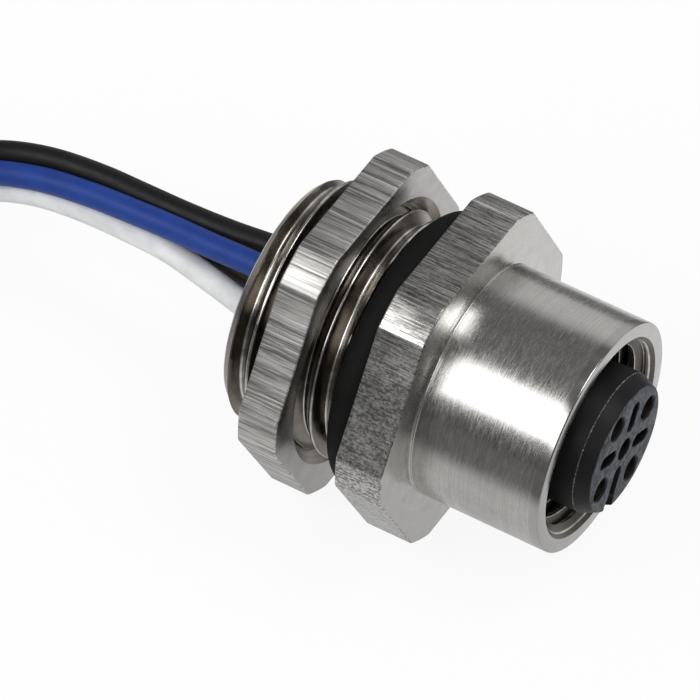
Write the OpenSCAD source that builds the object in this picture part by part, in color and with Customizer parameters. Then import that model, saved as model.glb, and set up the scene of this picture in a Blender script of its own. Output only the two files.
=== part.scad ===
// Round panel connector with a female mating face, four socket contacts and single-wire leads.
// One turned housing goes through a panel from the front. A seal ring sits behind its
// hexagonal flange, and a hexagonal nut on the rear thread clamps the panel.
//
// Frame: +X runs along the axis towards the mating face, +Z is up, and the origin is on the
// axis in the plane of the flange's seal face. The part lies on a flat of each hexagon.
// All lengths are in millimetres and all angles in degrees.

/* [Housing] */
// Outer diameter of the front sleeve
sleeve_od = 14.3; // [13.8:0.1:15]
// Length of the front sleeve ahead of the flange
sleeve_len = 8.4; // [8:0.1:9]
// Width of both hexagons across their flats
hex_af = 19; // [18.5:0.1:20]
// Diameter over the turned corners of both hexagons
corner_d = 20.7; // [20.4:0.1:21.2]
// Thickness of the hexagonal flange
flange_t = 3; // [2.5:0.1:3.4]
// Inner diameter of the flat rim at the mouth
rim_id = 12.5; // [12.2:0.1:12.8]

/* [Threads] */
// Crest diameter of the rear mounting thread
rear_d = 15.2; // [15:0.1:16]
// Pitch of the rear mounting thread
rear_pitch = 1.41; // [1:0.01:1.5]
// Reach of the rear thread behind the seal face
rear_reach = 9.4; // [9:0.1:11]
// Nominal diameter of the mating thread in the mouth
mate_d = 12; // [12:12]
// Pitch of the mating thread in the mouth
mate_pitch = 1; // [1:1]
// Depth of the mating thread from the mouth
mate_depth = 7; // [6.5:0.1:7]

/* [Seal ring and nut] */
// Section diameter of the panel seal ring
ring_section = 2.4; // [2.2:0.1:2.4]
// Depth of the ring's recess in the flange
recess_depth = 0.4; // [0.3:0.1:0.6]
// Thickness of the lock nut
nut_t = 2.5; // [2.2:0.1:3]
// Gap between the seal face and the nut's front face
nut_gap = 3.9; // [3.8:0.1:4.5]
// Radial clearance of the nut on the rear thread
nut_play = 0.05; // [0.03:0.01:0.1]

/* [Contact insert] */
// Diameter of the insert's face
face_d = 7.94; // [7.8:0.02:8.1]
// Diameter of the insert's barrel
barrel_d = 8.68; // [8.5:0.02:8.8]
// Height of the insert's face above the mouth
insert_proud = 1.55; // [1:0.05:1.8]
// Length of the taper from the insert's barrel to its face
taper_len = 0.9; // [0.6:0.1:1.2]
// Width of the coding groove
key_w = 1.1; // [0.9:0.1:1.3]
// Diameter of the circle through the contacts
contact_circle = 5.6; // [5.4:0.1:5.8]
// Angle of the first contact, from +Y towards +Z
contact_turn = -68; // [-70:1:-60]

/* [Leads] */
// Diameter of one insulated wire
wire_d = 1.5; // [1.4:0.1:1.5]
// Length of each stripped and tinned end
tip_len = 5; // [4:0.5:6]

/* [Hidden] */
$fn = 96;
sleeve_r = sleeve_od / 2;
rear_r = rear_d / 2;
corner_r = corner_d / 2;
rim_r = rim_id / 2;
mouth_x = flange_t + sleeve_len;
floor_z = -hex_af / 2;

// The bore of the mating thread is at its minor diameter, and the rear thread is a cylinder at
// its crests, with an end chamfer as deep as its turns
mate_minor_r = (mate_d - 1.0825 * mate_pitch) / 2;
rear_chamfer = rear_pitch / 2;
edge = 0.15;

// Steps of the bore, from the mouth to the back
relief_w = 0.8;
relief_r = mate_d / 2 + 0.1;
seat_x = mouth_x - mate_depth - relief_w;
seat_r = 5;
seat_depth = 2.4;
neck_bore_r = 4.4;
cavity_r = 5.3;
cavity_x = -2.7;

// Groove for the panel seal ring, and the ring's recess in the back of the flange
ring_r = 7.5;
neck_r = ring_r - ring_section / 2;
groove_w = 2.05;
recess_r = ring_r + ring_section / 2 + 0.1;

// Lock nut
nut_bore_r = rear_r + nut_play;
nut_sink = 0.7;

// Contact insert
face_x = mouth_x + insert_proud;
shoulder_x = face_x - taper_len;
collar_len = 1.6;
collar_r = seat_r - 0.05;
spigot_r = neck_bore_r - 0.06;
boss_r = 3.95;
boss_back_x = -4.4;
key_floor_r = 3;
key_back_x = 5;
slot_w = 0.8;
slot_from_r = 1.2;
slot_to_r = 3.05;
slot_depth = 3;
pilot_r = 0.7;
entry_r = 0.72;
entry_flare = 0.85;
entry_depth = 0.8;

// Socket contacts
contact_r = 0.95;
chamber_play = 0.03;
contact_front_x = face_x - entry_depth;
nose_r = entry_r - chamber_play;
nose_len = 0.3;
pin_bore_r = 0.525;
pin_bore_len = 6.5;
spring_slot_w = 0.22;
spring_slot_len = 4;
cup_x = -3.2;
cup_back_x = -5.2;
cup_r = 0.8;
cup_bore_r = 0.55;
cup_bore_len = 1.6;
contact_angle = [for (i = [0:3]) contact_turn - 90 * i];

// Insert seal, an O-ring between the collar and the seat's floor
insert_ring_section = 0.66;
insert_ring_r = spigot_r + insert_ring_section / 2;

// Potting
potting_x = -8.6;
lead_circle_r = 2.1;

// Leads: route of the bundle's middle from the potting to the coil
lead_route = [
    [-5.2, 0, 0], [-8.6, 0, 0], [-11, 0.2, 0.1], [-14, 0.4, 0.1], [-17, 0.7, 0],
    [-20, 1, -0.3], [-23, 1.3, -0.7], [-26, 1.4, -1.2], [-28.5, 1.3, -1.9], [-30.5, 1.2, -2.9],
    [-32.5, 1, -4.3], [-34.5, 0.8, -5.8], [-36.5, 0.7, -7], [-38.5, 0.6, -7.5], [-41, 0.6, -7.6],
    [-43.5, 0.6, -7.6]
];
// Distance of each wire from that middle, and the bundle's twist, at the same points
coil_spread = 1.08;
lead_spread = [for (i = [0:len(lead_route) - 1]) i < 5 ? [2.1, 2.1, 1.95, 1.5, 1.16][i] : coil_spread];
lead_twist = [0, 0, 2, 6, 12, 19, 26, 31, 34, 34, 32, 29, 26, 24, 23, 23];
// Angle of each wire in the bundle at the potting: brown, white, blue, black
wire_angle = contact_angle;

// Coil: two turns side by side, in two layers, with its middle at coil_at. The bundle
// turns over half way, so that all four wires have the same length.
coil_at = [-43.5, -8];
coil_pitch = 3.4;
coil_outer_r = 8.6;
coil_inner_r = coil_outer_r - coil_pitch;
bundle_w = 2 * wire_d + 0.06;
coil_h = coil_pitch + bundle_w;
coil_z = floor_z + 0.4;
// Route of the bundle's middle from the coil to the bare ends, where the wires fan out flat
tail_route = [
    [-52.1, -8, -4.2], [-52.3, -10, -4.2], [-53, -12, -4.3], [-54.1, -13.7, -4.9],
    [-55.5, -15.2, -6.2], [-57, -16.5, -7.7], [-58.7, -17.6, -8.6], [-60.3, -18.4, -8.75]
];
tail_twist = 203;
// Share of the way from the bundle to the fan, sideways and in height, at the same points
fan_side = [0, 0, 0.1, 0.4, 0.8, 1, 1, 1];
fan_flat = [0, 0, 0, 0, 0.2, 0.6, 1, 1];
fan_pitch = 1.7;
// Place of each wire in the fan: brown, white, blue, black
fan_place = [-0.5, 0.5, 1.5, -1.5];
tip_r = 0.4;

// Tie round the coil
tie_turn = 270;
tie_w = 2;
tie_t = 0.4;
tie_gap = 0.2;
lock_w = 3;
lock_h = 2.4;
lock_t = 1.5;

nickel = [0.72, 0.71, 0.68];
gold = [0.83, 0.66, 0.3];
black = [0.09, 0.09, 0.1];
wire_colour = [[0.2, 0.14, 0.11], [0.9, 0.9, 0.9], [0.2, 0.31, 0.58], [0.13, 0.13, 0.14]];

// ---- Shared shapes ----

// A solid of revolution about the X axis; the points are [radius, x]
module turned(points) {
    rotate([0, 90, 0])
        rotate_extrude()
            polygon(points);
}

// A cylinder along X, between two places on the axis
module rod(r, from_x, to_x) {
    translate([from_x, 0, 0])
        rotate([0, 90, 0])
            cylinder(r = r, h = to_x - from_x);
}

// A ring of round section about the X axis
module o_ring(middle_r, section_r, at_x) {
    translate([at_x, 0, 0])
        rotate([0, 90, 0])
            rotate_extrude()
                translate([middle_r, 0])
                    circle(r = section_r, $fn = 48);
}

// A hexagonal bar along X with flats above and below and its corners turned round
module hex_bar(from_x, to_x) {
    intersection() {
        translate([from_x, 0, 0])
            rotate([0, 90, 0])
                rotate(30)
                    cylinder(r = hex_af / 2 / cos(30), h = to_x - from_x, $fn = 6);
        rod(corner_r, from_x - 1, to_x + 1);
    }
}

// Puts its children at a place on a circle about the X axis
module on_circle(r, angle) {
    translate([0, r * cos(angle), r * sin(angle)])
        children();
}

// ---- Housing, ring and nut ----

module housing() {
    color(nickel)
        difference() {
            union() {
                turned([
                    [0, -rear_reach], [rear_r - rear_chamfer, -rear_reach],
                    [rear_r, -rear_reach + rear_chamfer], [rear_r, -groove_w - edge],
                    [rear_r - edge, -groove_w], [neck_r, -groove_w], [neck_r, flange_t / 2],
                    [sleeve_r, flange_t / 2], [sleeve_r, mouth_x - edge], [sleeve_r - edge, mouth_x],
                    [0, mouth_x]
                ]);
                difference() {
                    hex_bar(0, flange_t);
                    rod(neck_r - 0.5, -1, flange_t + 1);
                    turned([[neck_r, -1], [recess_r, -1], [recess_r, recess_depth], [neck_r, recess_depth]]);
                }
            }
            turned([
                [0, -rear_reach - 1], [cavity_r, -rear_reach - 1], [cavity_r, cavity_x],
                [neck_bore_r, cavity_x], [neck_bore_r, seat_x - seat_depth], [seat_r, seat_x - seat_depth],
                [seat_r, seat_x], [relief_r, seat_x], [relief_r, seat_x + relief_w],
                [mate_minor_r, seat_x + relief_w], [mate_minor_r, mouth_x - (rim_r - mate_minor_r)],
                [rim_r, mouth_x], [rim_r, mouth_x + 1], [0, mouth_x + 1]
            ]);
        }
}

module seal_ring() {
    color(black)
        o_ring(ring_r, ring_section / 2, recess_depth - ring_section / 2);
}

module lock_nut() {
    back_x = -nut_gap - nut_t;
    sink_r = nut_bore_r + nut_sink;
    color(nickel)
        difference() {
            hex_bar(back_x, -nut_gap);
            turned([
                [0, back_x - 1], [sink_r, back_x - 1], [sink_r, back_x], [nut_bore_r, back_x + nut_sink],
                [nut_bore_r, -nut_gap - nut_sink], [sink_r, -nut_gap], [sink_r, -nut_gap + 1],
                [0, -nut_gap + 1]
            ]);
        }
}

// ---- Contact insert ----

// The way for one contact: a flared entry, then the chamber that holds it
module contact_way() {
    turned([
        [0, boss_back_x - 1], [contact_r + chamber_play, boss_back_x - 1],
        [contact_r + chamber_play, contact_front_x], [entry_r, contact_front_x],
        [entry_r, face_x - (entry_flare - entry_r)], [entry_flare, face_x],
        [entry_flare, face_x + 1], [0, face_x + 1]
    ]);
}

// A core pocket between two contacts
module core_pocket() {
    translate([face_x - slot_depth, slot_from_r, -slot_w / 2])
        cube([slot_depth + 1, slot_to_r - slot_from_r, slot_w]);
}

module contact_insert() {
    key_turn = contact_turn - 45;
    color(black)
        difference() {
            turned([
                [0, boss_back_x], [boss_r, boss_back_x], [boss_r, cavity_x], [spigot_r, cavity_x],
                [spigot_r, seat_x - collar_len], [collar_r, seat_x - collar_len], [collar_r, seat_x],
                [barrel_d / 2, seat_x], [barrel_d / 2, shoulder_x], [face_d / 2, face_x], [0, face_x]
            ]);
            for (angle = contact_angle)
                on_circle(contact_circle / 2, angle)
                    contact_way();
            rotate([key_turn, 0, 0])
                translate([key_back_x, key_floor_r, -key_w / 2])
                    cube([face_x, barrel_d, key_w]);
            rod(pilot_r, face_x - slot_depth, face_x + 1);
            for (i = [0:3])
                rotate([key_turn + 90 * i, 0, 0])
                    core_pocket();
        }
}

module insert_seal() {
    color(black)
        o_ring(insert_ring_r, insert_ring_section / 2, seat_x - (seat_depth + collar_len) / 2);
}

// ---- Socket contacts ----

// One turned contact: a split spring sleeve at the front, with a nose that centres in the entry,
// and a solder cup at the back
module socket_contact(number) {
    front_x = contact_front_x + nose_len;
    spring_x = front_x - spring_slot_len;
    color(gold)
        on_circle(contact_circle / 2, contact_angle[number - 1])
            difference() {
                turned([
                    [0, cup_back_x], [cup_r, cup_back_x], [cup_r, cup_x], [contact_r, cup_x],
                    [contact_r, contact_front_x], [nose_r, contact_front_x], [nose_r, front_x],
                    [0, front_x]
                ]);
                rod(pin_bore_r, front_x - pin_bore_len, front_x + 1);
                translate([spring_x, -2 * contact_r, -spring_slot_w / 2])
                    cube([spring_slot_len + 1, 4 * contact_r, spring_slot_w]);
                rod(cup_bore_r, cup_back_x - 1, cup_back_x + cup_bore_len);
            }
}

// ---- Potting ----

module potting() {
    color(black)
        difference() {
            rod(cavity_r, potting_x, cavity_x);
            rod(boss_r, boss_back_x, cavity_x + 1);
            for (angle = contact_angle) {
                on_circle(contact_circle / 2, angle)
                    rod(cup_r, cup_back_x, boss_back_x + 1);
                on_circle(lead_circle_r, angle)
                    rod(wire_d / 2, potting_x - 1, cup_back_x);
            }
        }
}

// ---- Leads ----

function unit(v) = v / norm(v);

// Direction of a route at point i, from its neighbours
function heading(route, i) =
    unit(route[min(i + 1, len(route) - 1)] - route[max(i - 1, 0)]);

// The sideways direction, level and across the route, and the one that stands on both
function across(t) = unit(cross(t, [0, 0, 1]));
function upward(t) = cross(across(t), t);

// A point at a distance and an angle from a route's point
function beside(route, i, r, angle) =
    let (t = heading(route, i))
    route[i] + r * (cos(angle) * across(t) + sin(angle) * upward(t));

// The route of one wire in the bundle, from the potting to the coil
function lead_of(number) = [
    for (i = [0:len(lead_route) - 1])
        beside(lead_route, i, lead_spread[i], wire_angle[number - 1] + lead_twist[i])
];

// The route of one wire from the coil to its bare end: the bundle opens into a flat fan
function tail_of(number) = [
    for (i = [0:len(tail_route) - 1])
        let (
            t = heading(tail_route, i),
            angle = wire_angle[number - 1] + tail_twist,
            side = (1 - fan_side[i]) * coil_spread * cos(angle) + fan_side[i] * fan_pitch * fan_place[number - 1],
            up = (1 - fan_flat[i]) * coil_spread * sin(angle)
        )
        tail_route[i] + side * across(t) + up * upward(t)
];

// A round bar swept along a route: one ring of points at each of its points
module swept(route, r, sides = 8) {
    count = len(route);
    rings = [for (i = [0:count - 1]) for (k = [0:sides - 1]) beside(route, i, r, 360 * k / sides)];
    walls = [
        for (i = [0:count - 2]) for (k = [0:sides - 1])
            [i * sides + k, i * sides + (k + 1) % sides, (i + 1) * sides + (k + 1) % sides, (i + 1) * sides + k]
    ];
    first = [for (k = [0:sides - 1]) sides - 1 - k];
    last = [for (k = [0:sides - 1]) (count - 1) * sides + k];
    polyhedron(points = rings, faces = concat(walls, [first, last]), convexity = 4);
}

// One wire as far as it isn't coiled: its lead from the potting and its tail out of the coil
module wire(number) {
    color(wire_colour[number - 1]) {
        swept(lead_of(number), wire_d / 2);
        swept(tail_of(number), wire_d / 2);
    }
}

// The stripped end of one wire, straight on from its tail
module wire_tip(number) {
    route = tail_of(number);
    end = route[len(route) - 1];
    way = heading(route, len(route) - 1);
    color([0.75, 0.75, 0.74])
        translate(end)
            rotate([0, acos(way[2]), atan2(way[1], way[0])])
                cylinder(r = tip_r, h = tip_len, $fn = 24);
}

// The outer shape of the coiled length of all four wires
module wire_coil() {
    color([0.2, 0.25, 0.4])
        translate([coil_at[0], coil_at[1], coil_z])
            rotate_extrude()
                translate([coil_inner_r - bundle_w / 2, 0])
                    square([coil_pitch + bundle_w, coil_h]);
}

// A flat strap round the coil's section, with its lock on the outside
module coil_tie() {
    inner_r = coil_inner_r - bundle_w / 2 - tie_gap;
    outer_r = coil_outer_r + bundle_w / 2 + tie_gap;
    color(black)
        translate([coil_at[0], coil_at[1], coil_z])
            rotate(tie_turn) {
                difference() {
                    translate([inner_r - tie_t, -tie_w / 2, -tie_t])
                        cube([outer_r - inner_r + 2 * tie_t, tie_w, coil_h + 2 * tie_t]);
                    translate([inner_r, -tie_w, 0])
                        cube([outer_r - inner_r, 2 * tie_w, coil_h]);
                }
                translate([outer_r + tie_t, -lock_w / 2, (coil_h - lock_h) / 2])
                    cube([lock_t, lock_w, lock_h]);
            }
}

housing();
seal_ring();
lock_nut();
contact_insert();
insert_seal();
socket_contact(1);  // socket_contact_1
socket_contact(2);  // socket_contact_2
socket_contact(3);  // socket_contact_3
socket_contact(4);  // socket_contact_4
potting();
wire(1);  // wire_brown
wire(2);  // wire_white
wire(3);  // wire_blue
wire(4);  // wire_black
wire_tip(1);  // wire_tip_1
wire_tip(2);  // wire_tip_2
wire_tip(3);  // wire_tip_3
wire_tip(4);  // wire_tip_4
wire_coil();
coil_tie();
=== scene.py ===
"""Dresses a round panel connector: threads, turned and drawn nickel, rubber, plastic and leads.

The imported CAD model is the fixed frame. Lengths are metres and the frame's own axes are used:
+X along the connector's axis towards its mating face, +Z up.
"""

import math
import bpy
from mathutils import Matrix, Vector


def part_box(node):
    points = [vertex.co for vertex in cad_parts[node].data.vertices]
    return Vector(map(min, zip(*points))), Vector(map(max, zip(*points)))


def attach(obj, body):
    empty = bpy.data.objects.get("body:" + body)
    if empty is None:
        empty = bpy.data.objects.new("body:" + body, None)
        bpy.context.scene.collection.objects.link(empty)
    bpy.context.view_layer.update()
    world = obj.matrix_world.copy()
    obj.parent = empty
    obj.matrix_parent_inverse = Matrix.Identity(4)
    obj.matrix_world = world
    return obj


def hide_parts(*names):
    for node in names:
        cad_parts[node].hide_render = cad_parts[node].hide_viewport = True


bl_info = {
    "name": "Round panel connector",
    "version": (1, 0, 0),
    "blender": (4, 5, 0),
    "location": "View3D > Sidebar > Connector",
    "description": "Threads, finishes and leads for a round panel connector",
    "category": "Object",
}

import bpy
import numpy as np

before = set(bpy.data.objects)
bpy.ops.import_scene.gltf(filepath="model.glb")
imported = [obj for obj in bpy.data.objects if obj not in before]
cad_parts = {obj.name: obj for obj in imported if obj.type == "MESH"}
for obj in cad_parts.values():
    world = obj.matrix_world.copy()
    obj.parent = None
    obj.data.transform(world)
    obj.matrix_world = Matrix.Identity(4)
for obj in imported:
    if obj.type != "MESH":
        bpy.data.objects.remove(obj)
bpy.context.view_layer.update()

MM = 0.001
BODY = "connector"
NUT_BODY = "nut"

HOUSING_LOW, HOUSING_HIGH = (np.array(corner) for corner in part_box("housing"))
NUT_LOW, NUT_HIGH = (np.array(corner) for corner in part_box("lock_nut"))
RING_LOW, RING_HIGH = (np.array(corner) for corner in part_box("seal_ring"))
POTTING_LOW = np.array(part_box("potting")[0])
FLOOR_Z = float(HOUSING_LOW[2])

# Even steps round the housing and the nut, rows on a thread's flank, the distance under which
# points coincide, and the angle in degrees over which a CAD or carved edge stays sharp
COLUMNS = 216
FLANK_ROWS = 6
WELD_STEP = 1e-5 * MM
SHARP_ANGLE = 28
# Half widths of a thread's crest and root and the rounding, as shares of the pitch
REAR_FORM = {"crest_half": 0.05, "root_half": 0.05, "rounding": 0.04}
MATE_FORM = {"crest_half": 0.125, "root_half": 0.0625, "rounding": 0.03}
# The shallow relief cut at the sleeve's foot: places from its corner, and depths
RELIEF_CUT_X = np.array([0.02, 0.05, 0.2, 0.23]) * MM
RELIEF_CUT_DEPTH = np.array([0, 0.035, 0.035, 0]) * MM
# The contact insert: its radii, its places along the axis, and its soft edge
BARREL_R, BOSS_R, COLLAR_R, FACE_R = 4.34 * MM, 3.95 * MM, 4.95 * MM, 3.97 * MM
BOSS_X, COLLAR_LOW, COLLAR_HIGH = -2.7 * MM, 2 * MM, 3.6 * MM
TAPER, FACE_EDGE = 0.9 * MM, 0.1 * MM
# Its contact ways, its slots with the pilot hole between them, and its key groove
CIRCLE_R, WAY_R, ENTRY_R, FLARE_R = 2.8 * MM, 0.98 * MM, 0.72 * MM, 0.85 * MM
ENTRY_DEPTH, SLOT_DEPTH, SLOT_W, PILOT_R = 0.8 * MM, 3 * MM, 0.84 * MM, 0.68 * MM
SLOT_IN, SLOT_OUT, KEY_SLOT_OUT = 1.15 * MM, 3.05 * MM, 3.5 * MM
KEY_IN, KEY_OUT, KEY_W, KEY_X = 2.98 * MM, 6 * MM, 1.1 * MM, 5 * MM

# The bundle's middle from the potting to the coil: x, y, z, distance of each wire, twist in degrees
LEAD_ROUTE = np.array([
    [-5.2, 0, 0, 2.1, 0], [-8.6, 0, 0, 2.1, 0], [-11, 0.2, 0.1, 1.95, 2], [-14, 0.4, 0.1, 1.5, 6],
    [-17, 0.7, 0, 1.16, 12], [-20, 1, -0.3, 1.08, 19], [-23, 1.3, -0.7, 1.08, 26],
    [-26, 1.4, -1.2, 1.08, 31], [-28.5, 1.3, -1.9, 1.08, 34], [-30.5, 1.2, -2.9, 1.08, 34],
    [-32.5, 1, -4.3, 1.08, 32], [-34.5, 0.8, -5.8, 1.08, 29], [-36.5, 0.7, -7, 1.08, 26],
    [-38.5, 0.6, -7.5, 1.08, 24], [-41, 0.6, -7.6, 1.08, 23], [-43.5, 0.6, -7.6, 1.08, 23],
])
# From the coil to the bare ends: x, y, z, shares of the way to the flat fan, sideways and in height
TAIL_ROUTE = np.array([
    [-52.1, -8, -4.2, 0, 0], [-52.3, -10, -4.2, 0, 0], [-53, -12, -4.3, 0.1, 0],
    [-54.1, -13.7, -4.9, 0.4, 0], [-55.5, -15.2, -6.2, 0.8, 0.2], [-57, -16.5, -7.7, 1, 0.6],
    [-58.7, -17.6, -8.6, 1, 1], [-60.3, -18.4, -8.75, 1, 1],
])


# ---- Properties ----


def length(label, text, default):
    """A length property in metres."""
    return bpy.props.FloatProperty(
        name=label, description=text, default=default, unit="LENGTH", precision=5
    )


def number(label, text, default):
    """A plain number property."""
    return bpy.props.FloatProperty(name=label, description=text, default=default, precision=3)


def turn(label, text, degrees):
    """An angle property."""
    return bpy.props.FloatProperty(
        name=label, description=text, default=math.radians(degrees), subtype="ANGLE"
    )


def colour(label, text, default):
    """A colour property, in linear light."""
    return bpy.props.FloatVectorProperty(
        name=label, description=text, default=default, size=3, subtype="COLOR", min=0, max=1
    )


class ConnectorSizes(bpy.types.PropertyGroup):
    """Sizes that the frame's boxes don't give."""

    sleeve_r: length("Sleeve radius", "Outer radius of the front sleeve", 7.15 * MM)
    flange_t: length("Flange thickness", "Thickness of the hexagonal flange", 3 * MM)
    rim_r: length("Rim radius", "Inner radius of the flat rim at the mouth", 6.25 * MM)
    rear_r: length("Rear thread radius", "Crest radius of the rear thread", 7.6 * MM)
    rear_pitch: length("Rear thread pitch", "Advance of the rear thread in one turn", 1.41 * MM)
    rear_depth: length("Rear thread depth", "Depth of the rear thread", 0.67 * MM)
    rear_phase: number("Rear thread place", "Place of a crest, as a share of the pitch", 0.17)
    rear_chamfer: length("Rear chamfer", "Chamfer at the rear thread's end", 0.705 * MM)
    front_edge: length("Front thread edge", "Chamfer at the rear thread's front end", 0.15 * MM)
    mate_r: length("Mating thread radius", "Major radius of the mating thread", 6 * MM)
    mate_minor_r: length("Mating thread minor radius", "Minor radius of the thread", 5.46 * MM)
    mate_pitch: length("Mating thread pitch", "Advance of the mating thread", 1 * MM)
    mate_phase: number("Mating thread place", "Place of a crest, as a share of the pitch", 0.35)
    mate_depth: length("Mating thread length", "Depth of the thread from the mouth", 7 * MM)
    neck_r: length("Neck radius", "Radius of the groove under the seal ring", 6.3 * MM)
    groove_w: length("Groove width", "Width of the groove behind the flange", 2.05 * MM)
    recess_r: length("Recess radius", "Radius of the ring's recess in the flange", 8.8 * MM)
    recess_depth: length("Recess depth", "Depth of the ring's recess", 0.4 * MM)
    relief_r: length("Relief radius", "Radius of the bore behind the mating thread", 6.1 * MM)
    relief_w: length("Relief width", "Length of that relief", 0.8 * MM)
    seat_r: length("Seat radius", "Radius of the bore round the insert's collar", 5 * MM)
    seat_depth: length("Seat length", "Length of that bore", 2.4 * MM)
    neck_bore_r: length("Neck bore radius", "Radius of the bore's narrowest part", 4.4 * MM)
    cavity_r: length("Cavity radius", "Radius of the cavity at the back", 5.3 * MM)
    cavity_x: length("Cavity end", "Place of the cavity's front end", -2.7 * MM)
    nut_bore_r: length("Nut bore radius", "Radius of the nut's bore at its thread root", 7.65 * MM)
    nut_sink: length("Nut countersink", "Depth of the nut's countersinks", 0.7 * MM)
    edge: length("Edge break", "Size of the broken edges", 0.1 * MM)
    wire_d: length("Wire diameter", "Diameter of one insulated wire", 1.5 * MM)
    wire_length: length("Wire length", "Length of one wire from the potting to its tip", 0.2)
    strand_r: length("Strand radius", "Radius of one tinned strand", 0.13 * MM)
    strand_lay: length("Strand lay", "Length of one turn of a strand", 9 * MM)
    tip_length: length("Bare length", "Length of the stripped end", 5 * MM)



class ConnectorColours(bpy.types.PropertyGroup):
    """Colours of the pieces, in linear light."""

    nickel: colour("Nickel", "Nickel plating", (0.62, 0.61, 0.59))
    # The flank colour is far darker than the nickel: painted shade for the threads' grooves.
    flank: colour("Thread flanks", "Dull nickel on the threads' flanks", (0.25, 0.225, 0.195))
    rubber: colour("Rubber", "Panel seal ring", (0.006, 0.0056, 0.0053))
    plastic: colour("Plastic", "Contact insert", (0.006, 0.006, 0.0068))
    # The face colour is a lighter, bluish grey: dust together with a painted sheen off the face.
    face: colour("Insert face", "Dusty face of the contact insert", (0.075, 0.095, 0.115))
    resin: colour("Resin", "Potting at the back", (0.012, 0.012, 0.012))
    gold: colour("Gold", "Socket contacts", (0.8, 0.55, 0.22))
    tin: colour("Tin", "Tinned wire ends", (0.66, 0.66, 0.64))
    # Wire 1's brown is darkened almost to black: painted shade, as this wire lies shaded between
    # the others.
    brown: colour("Brown wire", "Insulation of wire 1", (0.014, 0.0095, 0.008))
    white: colour("White wire", "Insulation of wire 2", (0.72, 0.73, 0.73))
    blue: colour("Blue wire", "Insulation of wire 3", (0.011, 0.045, 0.25))
    black: colour("Black wire", "Insulation of wire 4", (0.009, 0.0085, 0.0085))


class StageSettings(bpy.types.PropertyGroup):
    """Camera, floor, surroundings and lamps."""

    azimuth: turn("Azimuth", "Camera's place round the object", 28.412)
    elevation: turn("Elevation", "Camera's height above the horizon", 47.283)
    roll: turn("Roll", "Camera's turn about its own line of sight", 3.17)
    distance: length("Distance", "Camera to the frame's origin", 0.4931)
    aim_right: length("Aim right", "Shift of the camera to its right", -4.406 * MM)
    aim_up: length("Aim up", "Shift of the camera upwards", 0.46 * MM)
    lens: number("Lens", "Focal length on a 36 mm sensor", 444.4)
    floor: colour("Floor", "Colour of the floor", (0.9, 0.9, 0.9))
    glow: number("Floor glow", "Share of plain white in the floor that is seen", 0.9)
    far_tone: number("Far tone", "Floor's brightness far off, as metal sees it", 0.16)
    # Painted shadow: the tone metal sees on the floor under the object.
    painted_shadow_tone: number("Near tone", "Floor's brightness under the object", 0.6)
    back_tone: number("Back tone", "Floor's brightness just behind the object", 0.86)
    front_edge: length("Front edge", "Where the floor darkens in front", -24 * MM)
    back_edge: length("Back edge", "Where the floor brightens behind", 3 * MM)
    far_edge: length("Far edge", "Where the floor darkens behind", 38 * MM)
    room: number("Room", "Brightness of the surroundings at the horizon", 0.1)
    ceiling: number("Ceiling", "Brightness of the surroundings overhead", 0.15)
    backdrop: number("Backdrop", "Extra brightness of the surroundings behind", 0.5)
    fill: number("Fill", "Even brightness of the surroundings on matt surfaces", 0.45)
    main_level: number("Main lamp", "Brightness of the main lamp's surface", 2.6)
    top_level: number("Top lamp", "Brightness of the top lamp's surface", 4.5)
    side_level: number("Side lamp", "Brightness of the side lamp's surface", 1.5)


# ---- Meshes ----


def signed_volume(points, quads):
    """Volume inside the faces: the sum of the tetrahedra from the origin to each half quad."""
    a, b, c, d = (points[quads[:, k]] for k in range(4))
    halves = np.einsum("ij,ij->i", a, np.cross(b, c)) + np.einsum("ij,ij->i", a, np.cross(c, d))
    return halves.sum() / 6


def grid_quads(rows, columns, shift=0):
    """Corner numbers of the quads between neighbouring points of a grid that closes on itself.

    Across the columns' seam a row meets the row that many rows further on, as a thread's turns do.
    """
    i, j = (x.ravel() for x in np.meshgrid(np.arange(rows - 1), np.arange(columns), indexing="ij"))
    i2, j2 = i + 1, (j + 1) % columns
    step = np.where(j2 < j, shift, 0)
    near, far = np.clip(i + step, 0, rows - 1), np.clip(i2 + step, 0, rows - 1)
    return np.stack([i * columns + j, near * columns + j2, far * columns + j2, i2 * columns + j], 1)


def smoothed(mesh, sharp):
    """Shades a mesh round, apart from edges sharper than an angle in degrees."""
    mesh.polygons.foreach_set("use_smooth", np.ones(len(mesh.polygons), dtype=bool))
    mesh.update()
    mesh.set_sharp_from_angle(angle=math.radians(sharp))
    return mesh


def new_object(name, mesh):
    """An object at the origin, linked to the scene."""
    piece = bpy.data.objects.new(name, mesh)
    bpy.context.scene.collection.objects.link(piece)
    return piece


def new_piece(name, points, faces, materials, face_slots=None, sharp=30):
    """A mesh object from point and face arrays, shaded round apart from its sharp edges."""
    mesh = bpy.data.meshes.new(name)
    mesh.from_pydata(points.tolist(), [], faces)
    for material in materials:
        mesh.materials.append(material)
    if face_slots is not None:
        mesh.polygons.foreach_set("material_index", np.asarray(face_slots, dtype=np.int32))
    return new_object(name, smoothed(mesh, sharp))


def settled(piece):
    """Makes a piece's modifiers final, so that its mesh holds their result."""
    depsgraph = bpy.context.evaluated_depsgraph_get()
    mesh = bpy.data.meshes.new_from_object(piece.evaluated_get(depsgraph))
    piece.modifiers.clear()
    piece.data = mesh
    return smoothed(mesh, SHARP_ANGLE)


def carved(piece, cutters):
    """Takes the cutters' bodies out of a piece for good, and removes the cutters."""
    for cutter in cutters:
        cut = piece.modifiers.new("cut", "BOOLEAN")
        cut.operation, cut.solver, cut.object = "DIFFERENCE", "EXACT", cutter
    settled(piece)
    for cutter in cutters:
        bpy.data.objects.remove(cutter)
    return piece


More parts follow.
